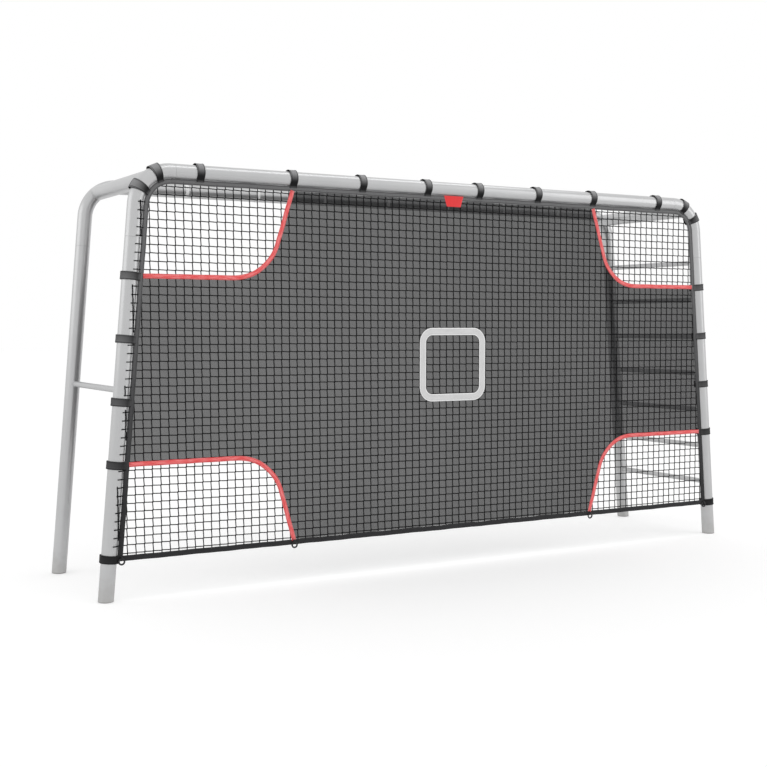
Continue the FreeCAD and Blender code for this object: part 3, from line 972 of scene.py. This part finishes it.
# %% [markdown]
# The two straight runs and the curve meet smoothly where the curve touches both lines, at a
# distance from the corner that follows from the radius and from the angle between the lines.

# %% Sew the tapes round the windows
tape_width = 0.025
tape_thickness = 0.0008
tape_y = net_low.y - 0.0014
tape_wave = 0.0005
window_radius = 0.265
window_end = 1.030        # where a window's slanting edge meets the webbing
top_window_corner = 1.178
bottom_window_corner = 1.159
inner_gap = edge_gap + webbing_width


def window_tape(word, side, upper):
    """Tape along one window: down the slanting edge, round the curve, out along the level one."""
    replaced = ("tape_top_" if upper else "tape_bottom_") + word
    low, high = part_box(replaced)
    level_z = low.z + tape_width / 2 if upper else high.z - tape_width / 2
    end_z = high.z + 0.004 if upper else low.z - 0.004
    corner = Vector((top_window_corner if upper else bottom_window_corner, level_z))
    slant = Vector((window_end, end_z)) - corner
    slant_length = slant.length
    slant.normalize()
    out = Vector((1, 0))
    half = slant.angle(out) / 2
    cut = window_radius / math.tan(half)
    middle = (slant + out).normalized()
    hub = corner + middle * (window_radius / math.sin(half))
    sweep = math.pi - 2 * half
    first = slant_length - cut
    second = window_radius * sweep
    third = half_width(level_z, inner_gap) + 0.004 - corner.x - cut
    start = corner + slant * slant_length
    spoke = (corner + slant * cut) - hub
    turn_way = 1 if upper else -1

    def place(along, across):
        if along < first:
            point = start - slant * along
            radial = spoke.normalized()
        elif along < first + second:
            turn = turn_way * (along - first) / window_radius
            radial = Vector((spoke.x * math.cos(turn) - spoke.y * math.sin(turn),
                             spoke.x * math.sin(turn) + spoke.y * math.cos(turn))).normalized()
            point = hub + radial * window_radius
        else:
            radial = Vector((0, -turn_way))
            point = corner + out * (cut + along - first - second)
        point = point + radial * (across + tape_wave * math.sin(along * 40.0))
        return Vector((side * point.x, tape_y, point.y))

    bm = bmesh.new()
    length = first + second + third
    strip(bm, length, tape_width, place, round(length / 0.02), 2)
    return finish_piece("window_" + replaced, bm, red_tape,
                        [replaced], tape_thickness)


tapes = [window_tape(word, side, upper) for word, side in (("left", -1), ("right", 1))
         for upper in (True, False)]
print(len(tapes), "tapes")

# %% [markdown]
# The target is a rounded square of white coated cloth, sewn on in front of the cords. Its
# two edges are folded under and raised a little, and they are paler, a painted highlight as if
# they caught more light than the middle. The coating has soft streaks. The small red tag on the
# top webbing is the same kind of cloth in red.

# %% Finish: coated cloth
def coated_cloth(name, dark, light, hem_highlight_colour, width):
    material, tree, shader = surface(name, Roughness=0.42, Coat_Weight=0.15, Coat_Roughness=0.3)
    cloth = cloth_map(tree)
    split = axes(tree, cloth)
    stretched = node(tree, "ShaderNodeMapping", {"Vector": cloth, "Scale": (9, 60, 1)}).outputs[0]
    streaks = node(tree, "ShaderNodeTexNoise", {"Vector": stretched, "Scale": 1.0, "Detail": 2.0})
    streak = streaks.outputs["Fac"]
    far = sums(tree, "SUBTRACT", width, split["Y"])
    from_edge = sums(tree, "MINIMUM", split["Y"], far)
    # A paler band along both edges is painted highlight; the same mask raises the hem in the bump.
    hem_and_highlight = ramp(tree, from_edge, 0.0035, 0.0060, 1.0, 0.0)
    rows = {"Vector": cloth, "Width": width, "Inset": 0.006, "Pitch": 0.005}
    seam = place_effect(tree, stitch_group, rows)
    plain = shade(tree, streak, dark, light)
    painted_hem_highlight = blend(tree, hem_and_highlight, plain, hem_highlight_colour)
    sewn = blend(tree, times(tree, seam["Thread"], 0.35), painted_hem_highlight, dark)
    tree.links.new(sewn, shader.inputs["Base Color"])
    weave = place_effect(tree, weave_group, {"Vector": cloth, "Threads": 600.0})
    height = sums(tree, "MULTIPLY_ADD", hem_and_highlight, 1.5, times(tree, weave["Height"], 0.3))
    height = sums(tree, "MULTIPLY_ADD", seam["Dent"], -0.6, height)
    bump(tree, shader, height, 0.4, 0.0006)
    return material


target_band = 0.042
target_y = net_low.y - 0.0016
cloth_thickness = 0.0012  # of the target and the tag
cloth_edge = 0.0004
# The paler edge colour of the target is painted highlight.
white_cloth = coated_cloth("white_coated_cloth", (0.62, 0.62, 0.62), (0.80, 0.80, 0.80),
                           (0.96, 0.96, 0.96), target_band)

# %% [markdown]
# A strip that follows a rounded square and closes on itself keeps the weave and the hems
# running along the band, as they would if the band were sewn from one length.

# %% Sew on the target
target_low, target_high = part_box("target")
target_corner = 0.084     # outer corner radius
line_r = target_corner - target_band / 2
half_w = (target_high.x - target_low.x) / 2 - target_corner
half_h = (target_high.z - target_low.z) / 2 - target_corner
centre_x = (target_low.x + target_high.x) / 2
centre_z = (target_low.z + target_high.z) / 2
quarter = line_r * math.pi / 2
target_runs = [2 * half_w, quarter, 2 * half_h, quarter, 2 * half_w, quarter, 2 * half_h, quarter]
target_length = sum(target_runs)


def target_place(along, across):
    """Clockwise from the top left: a straight run and a corner for each side in turn."""
    corners = [(half_w, half_h), (half_w, -half_h), (-half_w, -half_h), (-half_w, half_h)]
    along = min(along, target_length)
    for index, run in enumerate(target_runs):
        if along <= run or index == 7:
            break
        along -= run
    side = index // 2
    corner_x, corner_z = corners[side]
    heading = -side * math.pi / 2
    if index % 2 == 0:
        back = run - along
        turn = heading + math.pi / 2
    else:
        back = 0.0
        turn = heading + math.pi / 2 - along / line_r
    x = corner_x - back * math.cos(heading) + (line_r + across) * math.cos(turn)
    z = corner_z - back * math.sin(heading) + (line_r + across) * math.sin(turn)
    return Vector((centre_x + x, target_y, centre_z + z))


bm = bmesh.new()
strip(bm, target_length, target_band, target_place, 120, 4, closed=True)
target_piece = finish_piece("target_square", bm, white_cloth, ["target"],
                            cloth_thickness, cloth_edge)

# %% [markdown]
# The tag narrows downwards and bows forwards a little between its two seams.

# %% Sew on the tag
tag_low, tag_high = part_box("tag")
tag_height = tag_high.z - tag_low.z
tag_top = tag_high.x - tag_low.x
tag_bottom = 0.094
tag_bow = 0.0012
# The paler edge colour of the tag is painted highlight.
red_cloth = coated_cloth("red_coated_cloth", (0.78, 0.012, 0.015), (0.92, 0.022, 0.026),
                         (0.95, 0.045, 0.05), tag_top)


def tag_place(along, across):
    share = along / tag_height
    width = tag_top + (tag_bottom - tag_top) * share
    bow = tag_bow * math.cos(across / tag_top * math.pi)
    return Vector((across * width / tag_top, (tag_low.y + tag_high.y) / 2 - bow, tag_high.z - along))


bm = bmesh.new()
strip(bm, tag_height, tag_top, tag_place, 8, 12)
tag_piece = finish_piece("red_tag", bm, red_cloth, ["tag"], cloth_thickness, cloth_edge)

# %% [markdown]
# Four black rings hang from the bottom webbing, each in a small loop of narrow webbing. The
# rings are CAD pieces. The loops are strips that come down the webbing's front and go round
# the ring.

# %% Sew on the ring loops
keeper_wall = 0.0015
keeper_cloth = dark_cloth("keeper_webbing", (0.018, 0.018, 0.019), (0.045, 0.045, 0.047), 900.0,
                          0.010, 0.0022, 0.2)
bm = bmesh.new()
for low, high in solids_of("ring_keepers"):
    middle_x = (low.x + high.x) / 2
    keeper_width = high.x - low.x
    loop_r = (high.y - low.y - keeper_wall) / 2
    loop_y = high.y - keeper_wall / 2 - loop_r
    loop_z = low.z + keeper_wall / 2 + loop_r
    leaf = high.z - loop_z

    def keeper_place(along, across, x=middle_x, y=loop_y, z=loop_z, r=loop_r, leaf=leaf):
        if along < leaf:
            return Vector((x + across, y + r, z + leaf - along))
        turn = (along - leaf) / r
        return Vector((x + across, y + r * math.cos(turn), z - r * math.sin(turn)))

    strip(bm, leaf + loop_r * math.radians(350), keeper_width, keeper_place, 40, 2)
keepers = finish_piece("ring_loops", bm, keeper_cloth, ["ring_keepers"],
                       keeper_wall, 0.0003)

# %% [markdown]
# The panel is the one real sheet of cloth here. The cords, webbing, tapes, target and tag are
# sewn on it or go with it.

# %% [markdown]
# The studio is white: a pale floor, an even white surround, and three large soft lights. The
# overhead one draws the bright line along the beams, the left one brightens the legs' outer
# sides, and the right one, in front, fills the net and the corner pieces. The floor glows very
# slightly, so that it stays pale where the frame shades it. Light Path shows the floor and the
# surround to the camera a little brighter than they light the object.

# %% Floor and surround
floor_material, tree, shader = surface("pale_floor", Roughness=0.9)
shader.inputs["Base Color"].default_value = (0.74, 0.74, 0.74, 1)
shader.inputs["Emission Color"].default_value = (1, 1, 1, 1)
direct = node(tree, "ShaderNodeLightPath").outputs["Is Camera Ray"]
tree.links.new(ramp(tree, direct, 0.0, 1.0, 0.12, 0.36), shader.inputs["Emission Strength"])
bm = bmesh.new()
ground = bmesh.ops.create_grid(bm, x_segments=1, y_segments=1, size=60)["verts"]
bmesh.ops.translate(bm, vec=(0, 0, -0.0005), verts=ground)
floor_mesh = bpy.data.meshes.new("floor")
bm.to_mesh(floor_mesh)
bm.free()
floor_mesh.materials.append(floor_material)
floor = bpy.data.objects.new("floor", floor_mesh)
bpy.context.scene.collection.objects.link(floor)

world = bpy.data.worlds.new("studio")
world.use_nodes = True
tree = world.node_tree
seen = node(tree, "ShaderNodeLightPath").outputs["Is Camera Ray"]
strength = ramp(tree, seen, 0.0, 1.0, 0.86, 1.0)
tree.links.new(strength, tree.nodes["Background"].inputs["Strength"])
tree.nodes["Background"].inputs["Color"].default_value = (1, 1, 1, 1)
bpy.context.scene.world = world
bpy.context.scene.view_settings.view_transform = "Standard"


def soft_light(name, place, aim, size, power):
    light = bpy.data.lights.new(name, "AREA")
    light.shape = "RECTANGLE"
    light.size, light.size_y = size
    light.energy = power
    made = bpy.data.objects.new(name, light)
    made.location = place
    made.rotation_euler = (Vector(aim) - Vector(place)).to_track_quat("-Z", "Y").to_euler()
    bpy.context.scene.collection.objects.link(made)


soft_light("overhead_light", (0.5, -0.9, 5.2), (0.3, -0.4, 2.0), (5.0, 1.0), 20)
soft_light("left_light", (-6.5, 1.0, 3.2), (-1.8, -0.4, 1.4), (5.0, 3.0), 26)
soft_light("right_light", (5.8, -4.8, 3.6), (0.8, -0.4, 1.6), (2.4, 6.0), 42)

# %% [markdown]
# The camera stands to the front left of the net at a person's height and looks slightly down.
# Its small shift puts the object where it belongs in the frame.

# %% Camera
camera_data = bpy.data.cameras.new("camera")
camera_data.lens = 57.65
camera_data.sensor_width = 36.0
camera_data.shift_x = 0.0218
camera_data.shift_y = 0.0342
camera = bpy.data.objects.new("camera", camera_data)
camera.location = (-3.967, -6.369, 1.390)
camera.rotation_euler = (math.pi / 2 - 0.0688, 0, -0.5199)
bpy.context.scene.collection.objects.link(camera)
bpy.context.scene.camera = camera
